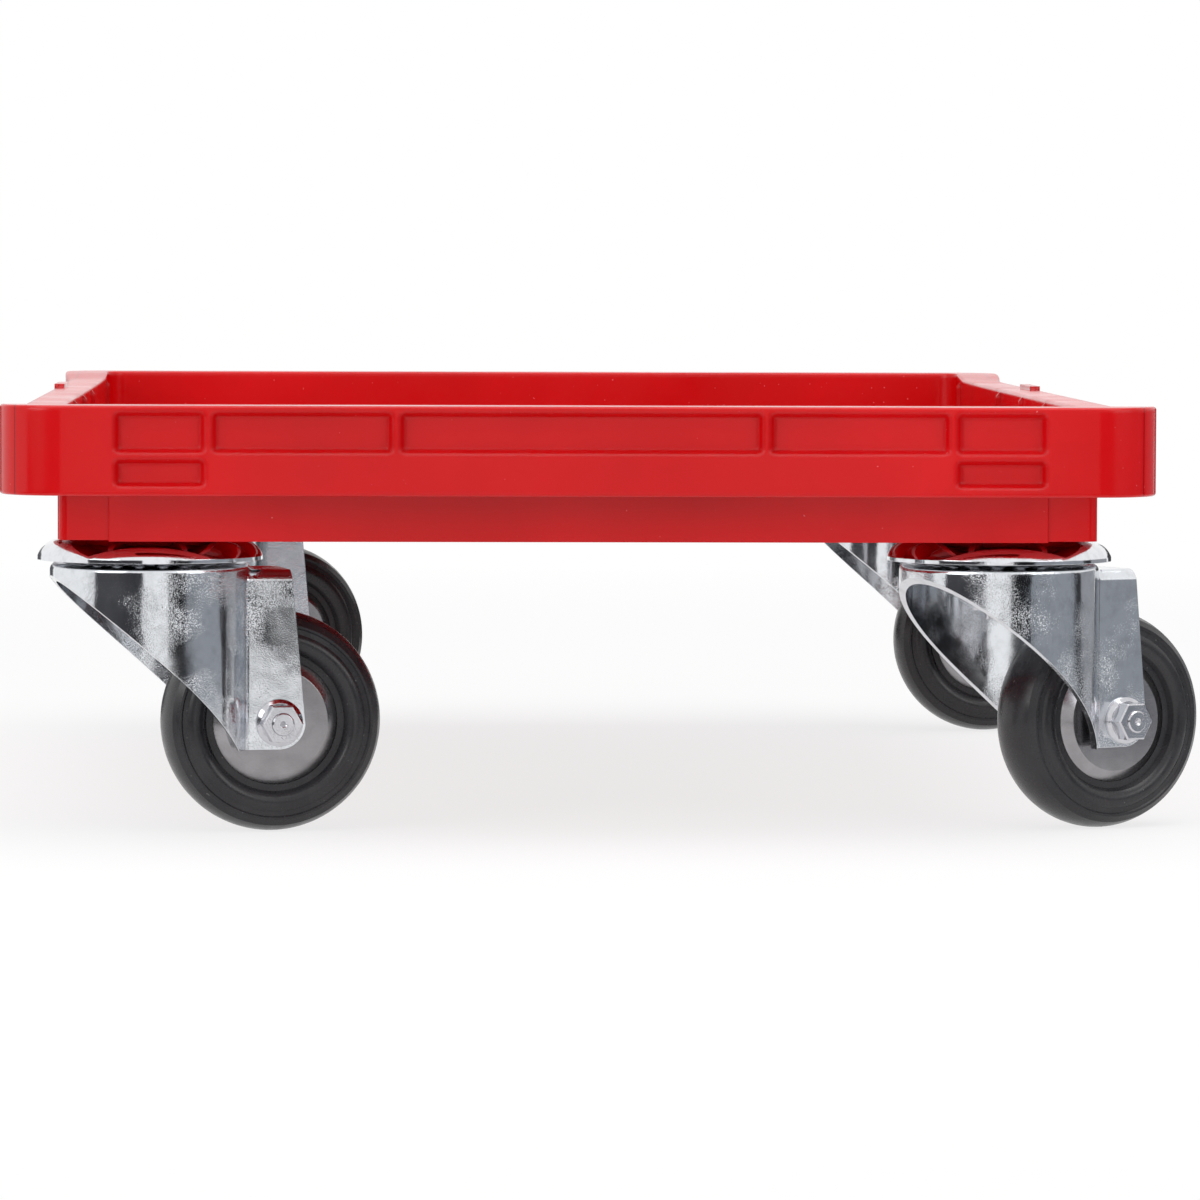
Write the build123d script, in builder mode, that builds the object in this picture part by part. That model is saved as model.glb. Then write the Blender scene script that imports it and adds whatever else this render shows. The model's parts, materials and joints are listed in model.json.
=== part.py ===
from build123d import *
import os
from math import cos, radians

# Plastic transport dolly: one moulded deck on four bolt-hole swivel casters.
# Millimetres. X runs across the deck, Y along it and Z up.
# The origin is the centre of the load face, the flat floor inside the rim.

# ---------------------------------------------------------------- driving sizes
deck_width = 410.0
deck_length = 610.0
load_height = 130.0  # floor to load face
rim_height = 25.0  # load face to the top of the rim
opening_width = 373.0  # load bay inside the rim
opening_length = 573.0

wheel_diameter = 80.0
tread_width = 25.0
swivel_offset = 44.0  # swivel axis to axle
caster_inset_x = 52.0  # deck's side to swivel axis
caster_inset_y = 58.0  # deck's end to swivel axis

# corner: side of X, side of Y, direction in which the wheel trails, degrees from +X
corners = {
    "front_left": (-1, -1, 11.4),
    "front_right": (1, -1, 28.9),
    "back_left": (-1, 1, 24.9),
    "back_right": (1, 1, 6.0),
}

# ---------------------------------------------------------------- deck moulding
corner_radius = 22.0
rim_depth = 6.7  # outer skin below the load face
rim_round = 1.2
floor_plate = 4.0
flange_sheet = 3.0
inner_wall = 2.5
outer_skin = 2.4
bay_corner = 8.0
pad_length = 20.0  # full-width corner, before the side draws in and drops
waist_depth = 4.4  # side face behind the corners
waist_blend = 70.0  # length over which the side draws in
waist_drop = 2.3  # side rim below the corners
drop_blend = 42.0  # length over which it drops

panel_depth = 3.6
panel_taper = 24.0
panel_round = 2.0
panel_lip = 0.5  # chamfer round the mouth of each panel
panel_low = 7.7
panel_high = 23.3
centre_panel = 128.8
side_panel = 64.5
corner_panel = 32.8
panel_rib = 1.4
low_panel_low = -4.1
low_panel_high = 6.7

long_panels = 7
long_panel = 60.0
long_panel_depth = 2.0
long_panel_high = 21.0

skirt_inset_x = 20.7  # skirt face behind the deck's side
skirt_inset_y = 19.0
skirt_wall = 3.0
skirt_corner = 3.0
skirt_depth = 23.05  # corner sections, below the load face
skirt_middle_drop = 0.45  # the middle sections hang this much lower
skirt_middle_proud = 0.9
skirt_corner_section = 17.8

bay_rib_projection = 1.5
bay_rib_width = 2.2
bay_rib_spacing = 175.0
bay_ribs = 4
bay_rib_slope = 1.8
side_lug_length = 40.0
side_lug_width = 4.0
side_lug_place = 85.0  # behind the middle
side_lug_rise = 1.6  # above the lowered rim
side_lug_root = 1.5

rib_thickness = 2.4
ribs_lengthwise = 6
ribs_crosswise = 10
boss_radius = 26.0
boss_ribs = 8
boss_rib_length = 62.0
slot_length = 44.0
slots_end = 7
slots_side = 10

drain_radius = 6.0
drain_spacing_x = 206.0
drain_spacing_y = 154.0

# ---------------------------------------------------------------- mounting bolt
deck_depth = 22.2  # load face to the casters' mounting face
bolt_radius = 5.0
bolt_hole_gap = 0.4
bolt_flats = 16.0
bolt_head = 6.4
well_radius = 13.0
well_depth = 14.0
washer_radius = 10.5
washer_thickness = 2.0
nut_flats = 16.0
nut_height = 8.0
nut_flange = 10.5
nut_flange_height = 2.0
bolt_tip = 3.0

# ---------------------------------------------------------------- caster head
head_radius = 40.4
head_sheet = 2.0
head_flat_radius = 24.0
head_shoulder_radius = 34.5
head_shoulder_drop = 2.5
head_rim_drop = 7.9
head_lip = 1.4
head_gap = 0.7  # between the head's lip and the fork's crown
rivet_bore = 5.3
rivet_shank = 8.5
rivet_flare = 12.0
rivet_flare_height = 1.5
rivet_end_height = 2.0
fit_gap = 0.1
upper_ball_pitch = 29.5
upper_balls_count = 20
lower_ball_pitch = 15.5
lower_ball_diameter = 5.0
lower_balls_count = 14
ball_gap = 0.2
lower_race_sheet = 2.5
lower_race_radius = 20.0
lower_race_lip = 2.4

# ---------------------------------------------------------------- fork
fork_sheet = 2.4
crown_radius = 36.0
crown_bend = 3.0  # outer radius of the crown's rim
strip_bend = 4.4  # and of the trailing web's long edges
crown_hub_radius = 22.0
crown_hub_slope = 3.0
crown_hub_rise = 3.0
crown_hole = 10.0
web_drop = 2.8  # trailing web below the crown
web_reach = 4.5  # trailing edge beyond the axle, at the web
leg_reach = 9.6  # leg beyond the axle, all round its end
leg_toe = 15.6  # leg's toe ahead of the axle
crease_round = 2.2
nose_skirt = 4.5
nose_handle = (23.5, -22.0)  # how the leading edge leaves the nose
toe_handle = (-13.0, 21.0)  # and how it comes to the toe

# ---------------------------------------------------------------- wheel and axle
tread_crown = 2.4  # fall of the tread from its middle to its shoulder
shoulder_inset = 2.8
side_step_inset = 0.9  # step in the tyre's side, behind the tread's edge
side_step_drop = 5.9  # below the tread
side_step_rise = 1.3
side_step_round = 0.5
side_step_foot = 1.7
swell_drop = 10.4  # widest part of the tyre's side, below the tread
swell_fall = 1.5
swell_rise = 1.1
groove_depth = 2.4  # round the hub disc
wheel_side_gap = 2.1  # tread to the fork's inner face
hub_end_gap = 0.6
rim_face_inset = 1.0
rim_sheet = 1.6
rim_flat_radius = 18.8
rim_edge_radius = 22.7
rim_edge_set = 2.6
rim_flange = 2.4
tube_outer = 9.8
tube_inner = 8.3
roller_radius = 1.28
rollers_count = 10
roller_length = 21.0
sleeve_outer = 5.5
axle_radius = 4.0
axle_gap = 0.1
axle_flats = 13.0
axle_flange = 8.5
axle_flange_height = 1.9
axle_flange_cone = 1.4  # fall of the flange towards the hexagon
axle_nut_height = 7.4
axle_head_height = 6.6
axle_tip = 0.9
axle_dimple = 1.3

# ---------------------------------------------------------------- levels and places
rim_top = rim_height
rim_bottom = -rim_depth
floor_z = -load_height
wheel_radius = wheel_diameter / 2
axle_z = floor_z + wheel_radius
mount_z = -deck_depth
crown_top = mount_z - head_rim_drop - head_lip - head_gap
web_top = crown_top - web_drop
hub_top = crown_top + crown_hub_rise
lower_ball_z = hub_top - fork_sheet - ball_gap - lower_ball_diameter / 2
lower_race_top = lower_ball_z - lower_ball_diameter / 2 - ball_gap
rivet_end_top = lower_race_top - lower_race_sheet - fit_gap
nut_top = rivet_end_top - rivet_end_height

half_width = deck_width / 2
half_length = deck_length / 2
side_face = half_width - waist_depth
skirt_half_width = half_width - skirt_inset_x
skirt_half_length = half_length - skirt_inset_y
cavity_width = 2 * (skirt_half_width - skirt_wall)
cavity_length = 2 * (skirt_half_length - skirt_wall)
caster_x = half_width - caster_inset_x
caster_y = half_length - caster_inset_y
caster_centres = [(x * caster_x, y * caster_y) for x, y, _ in corners.values()]

leg_inner = tread_width / 2 + wheel_side_gap
leg_outer = leg_inner + fork_sheet


def hexagon(across_flats):
    """Corner radius of a hexagon with this size across its flats."""
    return across_flats / 2 / cos(radians(30))


# ================================================================ deck
end_planes = [
    Plane(origin=(0, -half_length, 0), x_dir=(1, 0, 0), z_dir=(0, -1, 0)),
    Plane(origin=(0, half_length, 0), x_dir=(-1, 0, 0), z_dir=(0, 1, 0)),
]
side_planes = [
    Plane(origin=(-side_face, 0, 0), x_dir=(0, -1, 0), z_dir=(-1, 0, 0)),
    Plane(origin=(side_face, 0, 0), x_dir=(0, 1, 0), z_dir=(1, 0, 0)),
]

def waist_outline(depth, blend):
    """Face above a line that dips smoothly by depth between the corner pads."""
    start = half_length - pad_length
    end = start - blend
    with BuildSketch() as outline:
        with BuildLine():
            first = Spline((-start, 0), (-end, -depth), tangents=((1, 0), (1, 0)))
            Line(first @ 1, (end, -depth))
            last = Spline((end, -depth), (start, 0), tangents=((1, 0), (1, 0)))
            Polyline(last @ 1, (start, 1), (-start, 1), first @ 0)
        make_face()
    return outline.sketch


side_cut = waist_outline(waist_depth, waist_blend)
top_cut = waist_outline(waist_drop, drop_blend)


def panel_spans(count, width, rib):
    """Centres and width of a row of panels that is even about the middle."""
    pitch = width + rib
    return [((i - (count - 1) / 2) * pitch, width) for i in range(count)]


# upper panels of one end of the deck, as centre and width
side_panel_x = centre_panel / 2 + panel_rib + side_panel / 2
corner_panel_x = side_panel_x + side_panel / 2 + panel_rib + corner_panel / 2
end_panels = [(0, centre_panel)]
for side in (-1, 1):
    end_panels.append((side * side_panel_x, side_panel))
    end_panels.append((side * corner_panel_x, corner_panel))
low_end_panels = [(-corner_panel_x, corner_panel), (corner_panel_x, corner_panel)]
long_side_panels = panel_spans(long_panels, long_panel, panel_rib)


def cut_panels(plane, panels, low, high, depth):
    """Recess a row of drafted panels with chamfered lips into a face of the deck."""
    height = high - low
    for centre, width in panels:
        with BuildSketch(plane) as panel:
            with Locations((centre, (low + high) / 2)):
                RectangleRounded(width - 2 * panel_lip, height - 2 * panel_lip, panel_round)
        extrude(panel.sketch, amount=-depth, taper=panel_taper, mode=Mode.SUBTRACT)
        with BuildSketch(plane) as lip:
            with Locations((centre, (low + high) / 2)):
                RectangleRounded(width, height, panel_round + panel_lip)
        extrude(lip.sketch, amount=-panel_lip, taper=45, mode=Mode.SUBTRACT)


with BuildPart() as deck:
    # rim block, drawn in and lowered along the two long sides
    with BuildSketch(Plane.XY.offset(rim_bottom)):
        RectangleRounded(deck_width, deck_length, corner_radius)
    extrude(amount=rim_top - rim_bottom)
    for turn in (-1, 1):
        side_plane = Plane(
            origin=(turn * half_width, 0, rim_bottom), x_dir=(0, -turn, 0), z_dir=(0, 0, 1)
        )
        with BuildSketch(side_plane):
            add(side_cut)
        extrude(amount=rim_top - rim_bottom, mode=Mode.SUBTRACT)
    with BuildSketch(Plane.YZ.offset(-half_width)):
        with Locations((0, rim_top)):
            add(top_cut)
    extrude(amount=deck_width, mode=Mode.SUBTRACT)
    fillet(deck.faces().sort_by(Axis.Z)[0].outer_wire().edges(), rim_round)

    # load bay inside the rim, with every top edge rounded
    with BuildSketch():
        RectangleRounded(opening_width, opening_length, bay_corner)
    extrude(amount=rim_top, mode=Mode.SUBTRACT)
    lowest_top = rim_top - waist_drop - rim_round
    fillet(deck.edges().filter_by(lambda e: e.bounding_box().min.Z > lowest_top), rim_round)

    # recessed panels of the rim
    for plane in end_planes:
        cut_panels(plane, end_panels, panel_low, panel_high, panel_depth)
        cut_panels(plane, low_end_panels, low_panel_low, low_panel_high, panel_depth)
    for plane in side_planes:
        cut_panels(plane, long_side_panels, panel_low, long_panel_high, long_panel_depth)

    # a low lug on the rim of each long side, flush with the side's face
    for turn in (-1, 1):
        with BuildSketch(Plane.XY.offset(rim_top - waist_drop - side_lug_root)):
            with Locations((turn * (side_face - side_lug_width / 2), side_lug_place)):
                Rectangle(side_lug_width, side_lug_length)
        extrude(amount=side_lug_root + side_lug_rise)

    # skirt below the rim, its middle sections a little proud of the corners
    with BuildSketch(Plane.XY.offset(-floor_plate)):
        RectangleRounded(2 * skirt_half_width, 2 * skirt_half_length, skirt_corner)
    extrude(amount=floor_plate - skirt_depth)
    proud_width = 2 * (skirt_half_width + skirt_middle_proud)
    proud_length = 2 * (skirt_half_length + skirt_middle_proud)
    with BuildSketch(Plane.XY.offset(-floor_plate)):
        Rectangle(proud_width, 2 * (skirt_half_length - skirt_corner_section))
        Rectangle(2 * (skirt_half_width - skirt_corner_section), proud_length)
    extrude(amount=floor_plate - skirt_depth - skirt_middle_drop)
    with BuildSketch(Plane.XY.offset(-floor_plate)):
        Rectangle(cavity_width, cavity_length)
    extrude(amount=floor_plate - skirt_depth - skirt_middle_drop, mode=Mode.SUBTRACT)

    # rib lattice and caster bosses under the floor plate
    with BuildSketch(Plane.XY.offset(-floor_plate)):
        with GridLocations(cavity_width / (ribs_lengthwise + 1), 0, ribs_lengthwise, 1):
            Rectangle(rib_thickness, cavity_length)
        with GridLocations(0, cavity_length / (ribs_crosswise + 1), 1, ribs_crosswise):
            Rectangle(cavity_width, rib_thickness)
        for centre in caster_centres:
            with Locations(centre):
                Circle(boss_radius)
                with PolarLocations(boss_rib_length / 2, boss_ribs, start_angle=22.5):
                    Rectangle(boss_rib_length, rib_thickness)
        Rectangle(cavity_width, cavity_length, mode=Mode.INTERSECT)
    extrude(amount=floor_plate - deck_depth)

    # relief in the skirt where it crosses the casters' heads
    with BuildSketch(Plane.XY.offset(-deck_depth)):
        with Locations(*caster_centres):
            Circle(head_shoulder_radius)
    extrude(amount=deck_depth - skirt_depth - skirt_middle_drop, mode=Mode.SUBTRACT)

    # hollow of the rim, open below, between its inner wall and its outer skin
    end_low = opening_length / 2 + inner_wall
    end_high = half_length - panel_depth - outer_skin
    side_low = opening_width / 2 + inner_wall
    side_high = side_face - long_panel_depth - outer_skin
    with BuildSketch(Plane.XY.offset(rim_bottom)):
        for turn in (-1, 1):
            with Locations((0, turn * (end_low + end_high) / 2)):
                with GridLocations(slot_length + rib_thickness, 0, slots_end, 1):
                    Rectangle(slot_length, end_high - end_low)
            with Locations((turn * (side_low + side_high) / 2, 0)):
                with GridLocations(0, slot_length + rib_thickness, 1, slots_side):
                    Rectangle(side_high - side_low, slot_length)
    extrude(amount=rim_top - rim_bottom - waist_drop - flange_sheet, mode=Mode.SUBTRACT)

    # upright ribs on the bay's long walls, sloping away at the top
    rib_height = rim_top - waist_drop - rim_round
    for turn in (-1, 1):
        wall = turn * opening_width / 2
        inward = wall - turn * bay_rib_projection
        with BuildSketch(Plane.XZ) as bay_rib:
            with BuildLine():
                Polyline(
                    (wall + turn, 0),
                    (inward, 0),
                    (inward, rib_height - bay_rib_slope),
                    (wall, rib_height),
                    (wall + turn, rib_height),
                    close=True,
                )
            make_face()
        for count in range(bay_ribs):
            place = (count - (bay_ribs - 1) / 2) * bay_rib_spacing
            with BuildSketch(Plane.XZ.offset(place - bay_rib_width / 2)):
                add(bay_rib.sketch)
            extrude(amount=bay_rib_width)

    # wells and holes for the mounting bolts, and drain holes
    with BuildSketch():
        with Locations(*caster_centres):
            Circle(well_radius)
    extrude(amount=-well_depth, mode=Mode.SUBTRACT)
    with BuildSketch():
        with Locations(*caster_centres):
            Circle(bolt_radius + bolt_hole_gap)
        with GridLocations(drain_spacing_x, drain_spacing_y, 2, 2):
            Circle(drain_radius)
    extrude(amount=-deck_depth, mode=Mode.SUBTRACT)
deck.part.label = "deck"


# ================================================================ caster head and swivel
# Every caster part is made about the swivel axis, with X the way the wheel trails.
def ring(points):
    """Solid of revolution about the swivel axis, from straight-sided r, z points."""
    with BuildPart() as turned:
        with BuildSketch(Plane.XZ):
            with BuildLine():
                Polyline(*points, close=True)
            make_face()
        revolve(axis=Axis.Z)
    return turned.part


head_hole = rivet_shank + fit_gap
flare_hole = rivet_flare + fit_gap
shoulder_slope = head_shoulder_drop / (head_shoulder_radius - head_flat_radius)
with BuildPart() as head:
    with BuildSketch(Plane.XZ):
        with BuildLine():
            top = Polyline(
                (head_hole, mount_z - rivet_flare_height),
                (flare_hole, mount_z - rivet_flare_height),
                (flare_hole, mount_z),
                (head_flat_radius, mount_z),
                (head_shoulder_radius, mount_z - head_shoulder_drop),
            )
            dome = TangentArc(
                top @ 1, (head_radius, mount_z - head_rim_drop), tangent=(1, -shoulder_slope)
            )
            lip = Polyline(
                dome @ 1,
                (head_radius, mount_z - head_rim_drop - head_lip),
                (head_radius - head_sheet, mount_z - head_rim_drop - head_lip),
                (head_radius - head_sheet, mount_z - head_rim_drop - head_lip / 2),
            )
            under = Line(
                (head_shoulder_radius - head_sheet / 2, mount_z - head_shoulder_drop - head_sheet),
                (head_flat_radius, mount_z - head_sheet - rivet_flare_height / 2),
            )
            TangentArc(under @ 0, lip @ 1, tangent=(1, -shoulder_slope))
            Polyline(
                under @ 1,
                (flare_hole, mount_z - head_sheet - rivet_flare_height),
                (head_hole, mount_z - head_sheet - rivet_flare_height),
                top @ 0,
            )
        make_face()
    revolve(axis=Axis.Z)

king_rivet = ring(
    [
        (rivet_bore, mount_z - fit_gap / 2),
        (rivet_flare, mount_z - fit_gap / 2),
        (rivet_flare, mount_z - rivet_flare_height + fit_gap / 2),
        (rivet_shank, mount_z - rivet_flare_height + fit_gap / 2),
        (rivet_shank, rivet_end_top),
        (rivet_flare, rivet_end_top),
        (rivet_flare, nut_top),
        (rivet_bore, nut_top),
    ]
)
lower_race = ring(
    [
        (head_hole, lower_race_top),
        (lower_race_radius - fork_sheet / 2, lower_race_top),
        (lower_race_radius - fork_sheet / 2, lower_race_top + lower_race_lip),
        (lower_race_radius, lower_race_top + lower_race_lip),
        (lower_race_radius, lower_race_top - lower_race_sheet / 2),
        (rivet_flare, lower_race_top - lower_race_sheet),
        (head_hole, lower_race_top - lower_race_sheet),
    ]
)

# the upper balls fill the height between the crown and the head above it
race_drop = shoulder_slope * (upper_ball_pitch - head_flat_radius)
race_top = mount_z - race_drop - head_sheet - rivet_flare_height / 2
upper_ball_radius = (race_top - crown_top) / 2 - ball_gap
with BuildPart() as upper_balls:
    with Locations((0, 0, crown_top + ball_gap + upper_ball_radius)):
        with PolarLocations(upper_ball_pitch, upper_balls_count):
            Sphere(upper_ball_radius)
with BuildPart() as lower_balls:
    with Locations((0, 0, lower_ball_z)):
        with PolarLocations(lower_ball_pitch, lower_balls_count):
            Sphere(lower_ball_diameter / 2)


# ================================================================ fork
def fork_form(inset):
    """Outer form of the fork, or the hollow one sheet inside it."""
    base = axle_z - leg_reach - crown_bend
    strip_end = swivel_offset + 2 * leg_reach
    with BuildPart() as crown:
        with BuildSketch(Plane.XY.offset(base)):
            Circle(crown_radius - inset)
        extrude(amount=crown_top - inset - base)
        fillet(crown.edges().group_by(Axis.Z)[-1], crown_bend - inset)
    with BuildPart() as form:
        with BuildSketch(Plane.XY.offset(base)):
            with Locations((strip_end / 2, 0)):
                Rectangle(strip_end, 2 * (leg_outer - inset))
        extrude(amount=web_top - inset - base)
        long_edges = form.edges().group_by(Axis.Z)[-1].filter_by(Axis.X)
        fillet(long_edges, strip_bend - inset)
        add(crown.part)
        creases = form.edges().filter_by(Axis.Z).filter_by(
            lambda e: abs(abs(e.center().Y) - leg_outer + inset) < 0.01
            and e.center().X < crown_radius
        )
        fillet(creases, crease_round + inset)
    return form.part


toe = (swivel_offset - leg_toe, axle_z - leg_reach)
nose = (-crown_radius - 0.5, crown_top - nose_skirt)
axle_place = (swivel_offset, axle_z)
web_corner = (swivel_offset + web_reach, web_top)
outer_form = fork_form(0)
hollow_form = fork_form(fork_sheet)

with BuildPart() as fork:
    add(outer_form)
    add(hollow_form, mode=Mode.SUBTRACT)
    # side view of the fork: leading edge, leg with a round end, trailing edge
    with BuildSketch(Plane.XZ):
        with BuildLine():
            edge = Bezier(
                nose,
                (nose[0] + nose_handle[0], nose[1] + nose_handle[1]),
                (toe[0] + toe_handle[0], toe[1] + toe_handle[1]),
                toe,
            )
            sole = Line(edge @ 1, (swivel_offset, axle_z - leg_reach))
            heel = CenterArc(axle_place, leg_reach, -90, 90)
            back = Line(heel @ 1, web_corner)
            Polyline(
                back @ 1,
                (web_corner[0], crown_top),
                (web_corner[0], crown_top + 1),
                (nose[0], crown_top + 1),
                edge @ 0,
            )
        make_face()
    extrude(amount=2 * crown_radius, both=True, mode=Mode.INTERSECT)
    # ball races: a raised hub in the crown, with the king rivet's hole
    with BuildSketch(Plane.XZ):
        with BuildLine():
            Polyline(
                (0, crown_top - fork_sheet / 2),
                (crown_hub_radius + crown_hub_slope, crown_top - fork_sheet / 2),
                (crown_hub_radius + crown_hub_slope, crown_top),
                (crown_hub_radius, hub_top),
                (0, hub_top),
                close=True,
            )
        make_face()
    revolve(axis=Axis.Z)
    with BuildSketch(Plane.XZ):
        with BuildLine():
            hub_rim = crown_hub_radius + crown_hub_slope - fork_sheet
            Polyline(
                (0, crown_top - 2 * fork_sheet),
                (hub_rim, crown_top - 2 * fork_sheet),
                (hub_rim, crown_top - fork_sheet),
                (crown_hub_radius - fork_sheet, hub_top - fork_sheet),
                (0, hub_top - fork_sheet),
                close=True,
            )
        make_face()
    revolve(axis=Axis.Z, mode=Mode.SUBTRACT)
    with BuildSketch(Plane.XY.offset(crown_top - 2 * fork_sheet)):
        Circle(crown_hole)
    extrude(amount=4 * fork_sheet, mode=Mode.SUBTRACT)
    # axle holes through both legs
    with BuildSketch(Plane.XZ.offset(-crown_radius)):
        with Locations(axle_place):
            Circle(axle_radius + axle_gap)
    extrude(amount=2 * crown_radius, mode=Mode.SUBTRACT)


# ================================================================ wheel
axle_axis = Axis((swivel_offset, 0, axle_z), (0, 1, 0))
# profile plane of everything round the axle: first across the wheel, then radius
axle_plane = Plane(origin=(swivel_offset, 0, axle_z), x_dir=(0, 1, 0), z_dir=(1, 0, 0))


def turned_on_axle(points):
    """Solid of revolution about the axle, from straight-sided width, radius points."""
    with BuildPart() as turned:
        with BuildSketch(axle_plane):
            with BuildLine():
                Polyline(*points, close=True)
            make_face()
        revolve(axis=axle_axis)
    return turned.part


def tube_on_axle(start, end, inner, outer):
    """Plain tube about the axle, from start to end across the wheel."""
    return turned_on_axle([(start, inner), (end, inner), (end, outer), (start, outer)])


half_tread = tread_width / 2
tread_edge = half_tread - shoulder_inset
step_face = half_tread - side_step_inset
step_radius = wheel_radius - side_step_drop
swell_radius = wheel_radius - swell_drop
rim_face = half_tread - rim_face_inset
rim_edge = rim_face - rim_edge_set
tyre_seat = rim_edge_radius + fit_gap
tyre_bore = tyre_seat - rim_flange + rim_sheet / 2
bead = rim_edge - rim_flange - fit_gap
groove_radius = tyre_seat + groove_depth

with BuildPart() as tyre:
    with BuildSketch(axle_plane):
        with BuildLine():
            tread = TangentArc(
                (0, wheel_radius), (tread_edge, wheel_radius - tread_crown), tangent=(1, 0)
            )
            shoulder = Polyline(
                tread @ 1,
                (step_face, step_radius + side_step_rise),
                (step_face, step_radius + side_step_round),
                (step_face - side_step_round, step_radius),
                (step_face - side_step_round / 2, step_radius - side_step_foot),
            )
            swell = ThreePointArc(
                shoulder @ 1,
                (half_tread, swell_radius),
                (half_tread - swell_fall, groove_radius + swell_rise),
            )
            Polyline(
                swell @ 1,
                (rim_edge + fit_gap, groove_radius),
                (rim_edge + fit_gap, tyre_seat),
                (bead, tyre_seat),
                (bead, tyre_bore),
                (0, tyre_bore),
            )
            mirror(about=Plane.YZ)
        make_face()
    revolve(axis=axle_axis)

disc = [
    (rim_face, tube_outer + fit_gap),
    (rim_face, rim_flat_radius),
    (rim_edge, rim_edge_radius),
    (rim_edge - rim_flange, rim_edge_radius),
    (rim_edge - rim_flange, rim_edge_radius - rim_sheet),
    (rim_edge - rim_sheet / 2, rim_edge_radius - rim_sheet),
    (rim_face - rim_sheet, rim_flat_radius - rim_sheet / 2),
    (rim_face - rim_sheet, tube_outer + fit_gap),
]
with BuildPart() as rim_discs:
    add(turned_on_axle(disc))
    add(turned_on_axle([(-across, radius) for across, radius in disc]))

hub_half = leg_inner - hub_end_gap
sleeve_half = leg_inner - fit_gap / 2
hub_tube = tube_on_axle(-hub_half, hub_half, tube_inner, tube_outer)
axle_sleeve = tube_on_axle(-sleeve_half, sleeve_half, axle_radius + axle_gap, sleeve_outer)

roller_pitch = (tube_inner + sleeve_outer) / 2
with BuildPart() as rollers:
    roller_plane = Plane(
        origin=(swivel_offset, roller_length / 2, axle_z), x_dir=(1, 0, 0), z_dir=(0, -1, 0)
    )
    with BuildSketch(roller_plane):
        with PolarLocations(roller_pitch, rollers_count):
            Circle(roller_radius)
    extrude(amount=roller_length)


# ================================================================ axle bolt and nut
nut_start = -leg_outer - fit_gap / 2
nut_end = nut_start - axle_nut_height
head_start = leg_outer + fit_gap / 2
flange_cone = axle_flange - axle_flange_cone


def flanged_hexagon(start, direction, height, bore):
    """Hexagon with a coned flange, standing on a leg of the fork."""
    flange_end = start + direction * axle_flange_height
    across_plane = Plane(
        origin=(swivel_offset, start, axle_z), x_dir=(1, 0, 0), z_dir=(0, direction, 0)
    )
    flange = turned_on_axle(
        [
            (start, bore),
            (start, axle_flange),
            (start + direction * axle_flange_height / 2, axle_flange),
            (flange_end, flange_cone),
            (flange_end, bore),
        ]
    )
    with BuildPart() as nut:
        with BuildSketch(across_plane):
            RegularPolygon(hexagon(axle_flats), 6)
            if bore:
                Circle(bore, mode=Mode.SUBTRACT)
        extrude(amount=height)
        outer = nut.faces().sort_by(Axis((0, 0, 0), (0, direction, 0)))[-1].outer_wire()
        chamfer(outer.edges(), axle_flange_height / 4)
        add(flange)
    return nut.part


axle_nut = flanged_hexagon(nut_start, -1, axle_nut_height, axle_radius + axle_gap / 2)
with BuildPart() as axle_bolt:
    add(flanged_hexagon(head_start, 1, axle_head_height, 0))
    with BuildSketch(Plane.XZ.offset(-head_start)):
        with Locations(axle_place):
            Circle(axle_radius)
    extrude(amount=head_start - nut_end + axle_tip)
    tip = axle_bolt.faces().sort_by(Axis.Y)[0]
    chamfer(tip.edges(), axle_tip / 2)
    with Locations(Plane(tip.center(), z_dir=(0, -1, 0))):
        Cone(0, axle_dimple, axle_dimple, align=(Align.CENTER, Align.CENTER, Align.MAX), mode=Mode.SUBTRACT)


# ================================================================ mounting bolts
head_low = -well_depth + washer_thickness
with BuildPart() as mount_bolts:
    with BuildSketch(Plane.XY.offset(head_low)):
        with Locations(*caster_centres):
            RegularPolygon(hexagon(bolt_flats), 6)
    extrude(amount=bolt_head)
    with BuildSketch(Plane.XY.offset(head_low)):
        with Locations(*caster_centres):
            Circle(bolt_radius)
    extrude(amount=nut_top - nut_height - bolt_tip - head_low)
with BuildPart() as mount_washers:
    with BuildSketch(Plane.XY.offset(-well_depth)):
        with Locations(*caster_centres):
            Circle(washer_radius)
            Circle(bolt_radius + bolt_hole_gap / 2, mode=Mode.SUBTRACT)
    extrude(amount=washer_thickness)
with BuildPart() as mount_nuts:
    with BuildSketch(Plane.XY.offset(nut_top)):
        with Locations(*caster_centres):
            RegularPolygon(hexagon(nut_flats), 6)
            Circle(bolt_radius + fit_gap / 2, mode=Mode.SUBTRACT)
    extrude(amount=-nut_height)
    with BuildSketch(Plane.XY.offset(nut_top)):
        with Locations(*caster_centres):
            Circle(nut_flange)
            Circle(bolt_radius + fit_gap / 2, mode=Mode.SUBTRACT)
    extrude(amount=-nut_flange_height)


# ================================================================ export
os.makedirs("parts", exist_ok=True)
export_step(deck.part, "parts/deck.step")
fasteners = {
    "mount_bolts": mount_bolts.part,
    "mount_washers": mount_washers.part,
    "mount_nuts": mount_nuts.part,
}
for name, part in fasteners.items():
    part.label = name
    export_step(part, f"parts/{name}.step")

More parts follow.
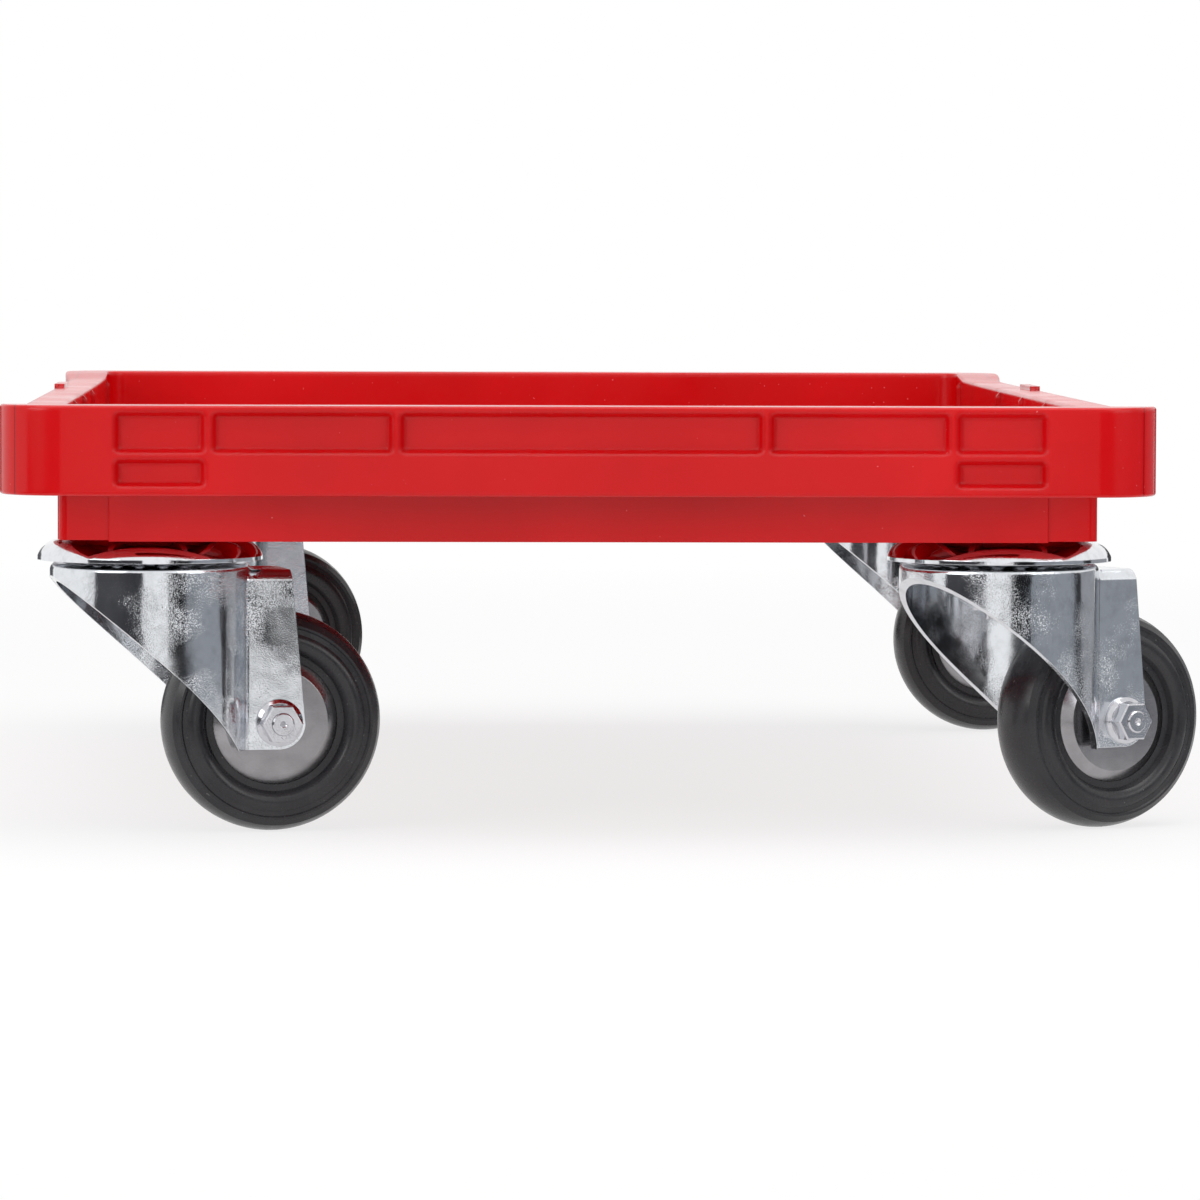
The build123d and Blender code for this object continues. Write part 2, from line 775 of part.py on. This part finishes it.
caster_parts = {
    "head": head.part,
    "king_rivet": king_rivet,
    "upper_balls": upper_balls.part,
    "lower_balls": lower_balls.part,
    "lower_race": lower_race,
    "fork": fork.part,
    "tyre": tyre.part,
    "rim_discs": rim_discs.part,
    "hub_tube": hub_tube,
    "rollers": rollers.part,
    "axle_sleeve": axle_sleeve,
    "axle_bolt": axle_bolt.part,
    "axle_nut": axle_nut,
}
for corner, (side_x, side_y, trail) in corners.items():
    place = Location((side_x * caster_x, side_y * caster_y, 0), (0, 0, trail))
    for name, part in caster_parts.items():
        placed = part.moved(place)
        placed.label = f"{name}_{corner}"
        export_step(placed, f"parts/{name}_{corner}.step")
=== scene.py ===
"""Looks of the plastic transport dolly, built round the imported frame. Metres, Z up."""

import json
import math

import bpy
from mathutils import Matrix, Vector


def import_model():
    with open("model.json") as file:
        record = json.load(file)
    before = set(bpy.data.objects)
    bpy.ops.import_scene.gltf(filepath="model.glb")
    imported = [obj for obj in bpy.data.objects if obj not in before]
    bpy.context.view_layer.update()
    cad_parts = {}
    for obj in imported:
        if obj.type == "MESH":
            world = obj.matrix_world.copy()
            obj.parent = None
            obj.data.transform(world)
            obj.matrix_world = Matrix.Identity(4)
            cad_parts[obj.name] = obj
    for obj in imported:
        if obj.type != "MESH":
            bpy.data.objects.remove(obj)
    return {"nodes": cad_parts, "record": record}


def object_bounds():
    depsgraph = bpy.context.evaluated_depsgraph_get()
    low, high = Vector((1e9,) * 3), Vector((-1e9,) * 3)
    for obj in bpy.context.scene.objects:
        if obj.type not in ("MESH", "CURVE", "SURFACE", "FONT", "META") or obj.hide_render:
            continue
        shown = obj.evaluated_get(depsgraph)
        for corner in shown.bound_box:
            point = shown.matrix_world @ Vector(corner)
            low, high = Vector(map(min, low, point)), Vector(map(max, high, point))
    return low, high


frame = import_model()
cad_low, cad_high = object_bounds()
record = frame["record"]
MM = 0.001
FLOOR = cad_low.z


# ---------------------------------------------------------------- node helpers
class Nodes:
    """A short way to add and link the nodes of one material."""

    def __init__(self, material):
        material.use_nodes = True
        self.tree = material.node_tree
        self.shader = self.tree.nodes["Principled BSDF"]

    def feed(self, socket, value):
        """Link a socket into another, or set the other to a plain value."""
        if isinstance(value, bpy.types.NodeSocket):
            self.tree.links.new(value, socket)
        else:
            socket.default_value = value

    def add(self, kind, inputs=None, **settings):
        """Add a node; its inputs go by name or by index."""
        node = self.tree.nodes.new(kind)
        for name, value in settings.items():
            setattr(node, name, value)
        for name, value in (inputs or {}).items():
            self.feed(node.inputs[name], value)
        return node

    def set(self, **inputs):
        """Set or link sockets of the shader; underscores stand for spaces."""
        for name, value in inputs.items():
            self.feed(self.shader.inputs[name.replace("_", " ")], value)

    def surface(self, shader):
        """Use another shader's output as the material's surface."""
        self.feed(self.tree.nodes["Material Output"].inputs["Surface"], shader)

    def place(self):
        return self.add("ShaderNodeTexCoord").outputs["Object"]

    def noise(self, scale, detail=3.0, roughness=0.55, stretch=None):
        """Noise over the object's own coordinates, scale in features per metre."""
        place = self.place()
        if stretch:
            place = self.add(
                "ShaderNodeMapping", {"Vector": place, "Scale": stretch}
            ).outputs["Vector"]
        return self.add(
            "ShaderNodeTexNoise",
            {"Vector": place, "Scale": scale, "Detail": detail, "Roughness": roughness},
        ).outputs["Fac"]

    def spread(self, value, low, high, to_low, to_high):
        """Remap a value from one span to another, clamped."""
        return self.add(
            "ShaderNodeMapRange",
            {
                "Value": value,
                "From Min": low,
                "From Max": high,
                "To Min": to_low,
                "To Max": to_high,
            },
        ).outputs["Result"]

    def mix(self, share, first, second):
        """Mix two colours, given as colours or sockets."""
        node = self.add("ShaderNodeMix", data_type="RGBA")
        # a mix node has one set of equally named sockets per data type; these are the
        # factor and the two colours
        for index, value in ((0, share), (6, first), (7, second)):
            self.feed(node.inputs[index], value)
        return node.outputs[2]

    def math(self, operation, first, second=0.0):
        node = self.add("ShaderNodeMath", {0: first, 1: second}, operation=operation)
        return node.outputs[0]

    def rounded(self, radius, samples=4):
        """Normal with the edges rounded, in shading only."""
        node = self.add("ShaderNodeBevel", {"Radius": radius}, samples=samples)
        return node.outputs["Normal"]

    def bump(self, height, strength, distance, normal=None):
        """Bump the shader's normal, on top of another normal if one is given."""
        inputs = {"Height": height, "Strength": strength, "Distance": distance}
        if normal:
            inputs["Normal"] = normal
        self.set(Normal=self.add("ShaderNodeBump", inputs).outputs["Normal"])


def new_material(name):
    material = bpy.data.materials.new(name)
    return material, Nodes(material)


# ---------------------------------------------------------------- materials
SPLIT_LINE = 199.0 * MM  # how far out the mould's split runs
SPLIT_CORE, SPLIT_EDGE = 0.12 * MM, 0.28 * MM  # half widths of its dark core and its edge
PANELS_LOW, PANELS_HIGH = -4.5 * MM, 23.5 * MM  # band of the side panels, by height
EDGE_ROUND = 0.5 * MM  # the moulding's edges
PANEL_ROUND = 2.2 * MM  # and the softer ones of its panels

RED_DEEP = (0.55, 0.0008, 0.002, 1)
RED_BRIGHT = (0.66, 0.002, 0.005, 1)
RED_PATCH = (0.57, 0.0005, 0.002, 1)
RED_SPECK = (0.85, 0.30, 0.32, 1)
RED_SPLIT = (0.16, 0.002, 0.004, 1)


def red_plastic():
    """Injection-moulded polypropylene: mottling, flow marks, specks and the split line."""
    material, n = new_material("red_plastic")
    mottle = n.spread(n.noise(9, 3), 0.36, 0.66, 0, 1)
    patches = n.spread(n.noise(38, 4, 0.6), 0.42, 0.68, 0, 0.5)
    base = n.mix(mottle, RED_DEEP, RED_BRIGHT)
    base = n.mix(patches, base, RED_PATCH)
    specks = n.spread(n.noise(620, 1), 0.775, 0.80, 0, 0.35)
    base = n.mix(specks, base, RED_SPECK)
    # the mould's split line, upright on the corners and along the top of the long sides
    across = n.add("ShaderNodeSeparateXYZ", {"Vector": n.place()}).outputs["X"]
    out = n.math("SUBTRACT", n.math("ABSOLUTE", across), SPLIT_LINE)
    split = n.spread(n.math("ABSOLUTE", out), SPLIT_CORE, SPLIT_EDGE, 0.75, 0)
    base = n.mix(split, base, RED_SPLIT)
    flow = n.noise(26, 5, 0.6, stretch=(1.0, 1.0, 0.35))
    n.set(
        Base_Color=base,
        Roughness=n.spread(flow, 0.3, 0.7, 0.13, 0.24),
        IOR=1.49,
        Specular_IOR_Level=0.32,
    )
    height = n.add("ShaderNodeSeparateXYZ", {"Vector": n.place()}).outputs["Z"]
    in_band = n.math(
        "MULTIPLY",
        n.spread(height, PANELS_LOW - MM, PANELS_LOW, 0, 1),
        n.spread(height, PANELS_HIGH, PANELS_HIGH + MM, 1, 0),
    )
    radius = n.spread(in_band, 0, 1, EDGE_ROUND, PANEL_ROUND)
    n.bump(n.noise(700, 2), 0.06, 0.15 * MM, n.rounded(radius, samples=8))
    return material


PLATED_ROUND = 0.35 * MM  # edges of the plated sheet and fasteners
PLATED_GRAIN = 2300  # crystal grains per metre
PLATED_STAIN = 0.86  # how much darker its stains are


def plated(name, colour, rough, clouds, waves=0.1):
    """Bright plated steel; clouds sets how deep the patches of its crystal grain are,
    and waves how far the pressed sheet is from flat, both in millimetres."""
    material, n = new_material(name)
    smear = n.noise(70, 4, 0.6)
    stain = n.spread(n.noise(160, 4, 0.65), 0.45, 0.7, 0, 1)
    stained = tuple(PLATED_STAIN * part for part in colour)
    n.set(
        Base_Color=n.mix(stain, (*colour, 1), (*stained, 1)),
        Metallic=1.0,
        Roughness=n.spread(smear, 0.32, 0.68, *rough),
    )
    mask = n.spread(n.noise(38, 3, 0.6), 0.44, 0.66, 0.05, 1)
    pits = n.spread(n.noise(PLATED_GRAIN, 1, 0.7), 0.50, 0.74, 0, 1)
    grains = n.math("MULTIPLY", pits, n.math("MULTIPLY", mask, clouds))
    sheet = n.math("MULTIPLY", n.noise(60, 1), waves)
    n.bump(n.math("ADD", grains, sheet), 1.0, MM, n.rounded(PLATED_ROUND))
    return material


DISC_LIGHT = (0.36, 0.35, 0.36, 1)
DISC_DARK = (0.30, 0.29, 0.30, 1)
DISC_ROUND = 0.3 * MM


def disc_steel():
    """Satin wheel discs with a fine brushed grain."""
    material, n = new_material("wheel_steel")
    brushed = n.noise(400, 3, 0.6, stretch=(1.0, 1.0, 9.0))
    clouds = n.spread(n.noise(120, 4), 0.35, 0.65, 0, 1)
    n.set(
        Base_Color=n.mix(clouds, DISC_LIGHT, DISC_DARK),
        Metallic=1.0,
        Roughness=n.spread(brushed, 0.3, 0.7, 0.17, 0.27),
    )
    n.bump(brushed, 0.1, 0.05 * MM, n.rounded(DISC_ROUND))
    return material


RUBBER_DARK = (0.021, 0.021, 0.024, 1)
RUBBER_LIGHT = (0.030, 0.030, 0.033, 1)
RUBBER_DUST = (0.25, 0.25, 0.25, 1)


def rubber():
    """Dark grey rubber with a fine grain and a few specks of dust."""
    material, n = new_material("tyre_rubber")
    clouds = n.spread(n.noise(90, 4), 0.35, 0.65, 0, 1)
    base = n.mix(clouds, RUBBER_DARK, RUBBER_LIGHT)
    dust = n.spread(n.noise(800, 1), 0.76, 0.79, 0, 0.5)
    base = n.mix(dust, base, RUBBER_DUST)
    n.set(
        Base_Color=base,
        Roughness=n.spread(n.noise(240, 3), 0.3, 0.7, 0.22, 0.34),
        Specular_IOR_Level=0.4,
    )
    n.bump(n.noise(2200, 2), 0.15, 0.08 * MM)
    return material


# the plated metals: colour, span of roughness, depth of the grain and of the waves
PLATED = {
    "zinc_sheet": ((0.76, 0.78, 0.81), (0.07, 0.13), 0.06, 0.22),
    "chrome_head": ((0.80, 0.81, 0.84), (0.04, 0.10), 0.02),
    "fastener_steel": ((0.62, 0.62, 0.65), (0.07, 0.13), 0.03),
    "bearing_steel": ((0.45, 0.45, 0.47), (0.15, 0.25), 0.02),
}
FINISHES = {name: plated(name, *look) for name, look in PLATED.items()}
FINISHES["deck_plastic"] = red_plastic()
FINISHES["wheel_steel"] = disc_steel()
FINISHES["tyre_rubber"] = rubber()
for row in record["subparts"]:
    node = frame["nodes"][row["node"]]
    node.data.materials.clear()
    node.data.materials.append(FINISHES[row["material_slot"]])


# ---------------------------------------------------------------- stage, light and camera
def seen_directly(tree):
    """1 for camera, glossy and transmission rays, else 0."""
    path = tree.nodes.new("ShaderNodeLightPath")
    total = path.outputs["Is Camera Ray"]
    for name in ("Is Glossy Ray", "Is Transmission Ray"):
        most = tree.nodes.new("ShaderNodeMath")
        most.operation = "MAXIMUM"
        tree.links.new(total, most.inputs[0])
        tree.links.new(path.outputs[name], most.inputs[1])
        total = most.outputs[0]
    return total


FLOOR_SIZE = 24.0
FLOOR_CLEAR = 0.6  # the floor shows its light and shadow within this distance
FLOOR_FADE = 1.7  # and is plain white beyond this one
FLOOR_WHITE = 0.78  # share of plain white even close to the dolly
FLOOR_COLOUR = (0.93, 0.93, 0.93, 1)


def stage():
    """White floor: lit and shadowed near the dolly, fading to the plain white backdrop."""
    bpy.ops.mesh.primitive_plane_add(size=FLOOR_SIZE, location=(0, 0, FLOOR))
    floor = bpy.context.object
    floor.name = "studio_floor"
    material, n = new_material("studio_floor")
    n.set(Base_Color=FLOOR_COLOUR, Roughness=0.7, Specular_IOR_Level=0.0)
    length = n.add("ShaderNodeVectorMath", {"Vector": n.place()}, operation="LENGTH")
    distance = length.outputs["Value"]
    far = n.spread(distance, FLOOR_CLEAR, FLOOR_FADE, FLOOR_WHITE, 1)
    share = n.math("MULTIPLY", far, seen_directly(n.tree))
    white = n.add("ShaderNodeEmission", {"Strength": 1.0}).outputs[0]
    blend = n.add(
        "ShaderNodeMixShader", {0: share, 1: n.shader.outputs[0], 2: white}
    )
    n.surface(blend.outputs[0])
    floor.data.materials.append(material)


# low cards stand round the studio, as azimuth span in degrees from straight ahead and
# colour; each comes forward along the floor, and only reflections show them
CARDS = (
    (-58, -11, (0.05, 0.05, 0.055)),
    (13, 32, (0.015, 0.015, 0.017)),
    (32, 81, (0.30, 0.32, 0.35)),
    (81, 92, (0.04, 0.04, 0.045)),
    (92, 128, (0.33, 0.34, 0.36)),
    (134, 160, (0.06, 0.06, 0.065)),
    (-160, -136, (0.10, 0.10, 0.11)),
)
CARD_DISTANCE = 1.5
CARD_NEAR = 0.55  # where its part on the floor begins
CARD_LIFT = MM  # how far that part is above the floor
CARD_HEIGHT = 0.34
CARD_STEPS = 12


def card_mesh(name, start, end):
    """A card's strip: out along the floor and then up, turned from start to end."""
    verts, faces = [], []
    for step in range(CARD_STEPS + 1):
        turn = math.radians(start + (end - start) * step / CARD_STEPS)
        for distance, height in (
            (CARD_NEAR, CARD_LIFT),
            (CARD_DISTANCE, CARD_LIFT),
            (CARD_DISTANCE, CARD_HEIGHT),
        ):
            x, y = distance * math.sin(turn), -distance * math.cos(turn)
            verts.append((x, y, FLOOR + height))
        if step:
            last = 3 * step
            faces.append((last - 3, last, last + 1, last - 2))
            faces.append((last - 2, last + 1, last + 2, last - 1))
    mesh = bpy.data.meshes.new(name)
    mesh.from_pydata(verts, [], faces)
    return mesh


def cards():
    """The cards, hidden from all rays but those of reflections."""
    for number, (start, end, colour) in enumerate(CARDS):
        name = f"card_{number}"
        mesh = card_mesh(name, start, end)
        card = bpy.data.objects.new(name, mesh)
        bpy.context.scene.collection.objects.link(card)
        material, n = new_material(name)
        glow = n.add("ShaderNodeEmission", {"Color": (*colour, 1)})
        n.surface(glow.outputs[0])
        mesh.materials.append(material)
        card.visible_camera = False
        card.visible_diffuse = False
        card.visible_shadow = False
        card.visible_transmission = False


# name, place, size and watts of the lamps, which all aim at the middle of the load face
LAMPS = (
    ("top_box", (0.0, -0.3, 1.9), (2.6, 2.4), 36),
    ("left_box", (-1.9, -1.9, 0.75), (1.5, 1.4), 18),
    ("right_box", (1.9, -1.9, 0.75), (1.5, 1.4), 11),
)


def lights():
    for name, place, size, power in LAMPS:
        data = bpy.data.lights.new(name, "AREA")
        data.shape = "RECTANGLE"
        data.size, data.size_y = size
        data.energy = power
        lamp = bpy.data.objects.new(name, data)
        lamp.location = place
        lamp.rotation_euler = (-Vector(place)).to_track_quat("-Z", "Y").to_euler()
        bpy.context.scene.collection.objects.link(lamp)


WORLD_LIGHT = 0.40  # what the world gives as light; seen directly it is plain white


def world():
    scene_world = bpy.data.worlds.new("studio")
    bpy.context.scene.world = scene_world
    scene_world.use_nodes = True
    tree = scene_world.node_tree
    strength = tree.nodes.new("ShaderNodeMapRange")
    strength.inputs["To Min"].default_value = WORLD_LIGHT
    strength.inputs["To Max"].default_value = 1.0
    tree.links.new(seen_directly(tree), strength.inputs["Value"])
    background = tree.nodes["Background"]
    tree.links.new(strength.outputs["Result"], background.inputs["Strength"])
    background.inputs["Color"].default_value = (1, 1, 1, 1)


# where the camera stands, in the frame's metres, and how it looks
CAMERA_PLACE = (-0.0854, -2.6191, 0.0841)
CAMERA_YAW = 2.275  # degrees to the right of straight along +Y
CAMERA_PITCH = -3.14
CAMERA_ROLL = 0.2
CAMERA_LENS = 197.9
CAMERA_SENSOR = 36


def camera():
    data = bpy.data.cameras.new("camera")
    data.lens = CAMERA_LENS
    data.sensor_width = CAMERA_SENSOR
    eye = bpy.data.objects.new("camera", data)
    yaw, pitch, roll = (
        math.radians(angle) for angle in (CAMERA_YAW, CAMERA_PITCH, CAMERA_ROLL)
    )
    level = math.cos(pitch)
    look = Vector((math.sin(yaw) * level, math.cos(yaw) * level, math.sin(pitch)))
    turn = look.to_track_quat("-Z", "Y").to_matrix() @ Matrix.Rotation(roll, 3, "Z")
    eye.matrix_world = Matrix.Translation(CAMERA_PLACE) @ turn.to_4x4()
    bpy.context.scene.collection.objects.link(eye)
    bpy.context.scene.camera = eye


stage()
cards()
lights()
world()
camera()
bpy.context.scene.view_settings.view_transform = "Standard"
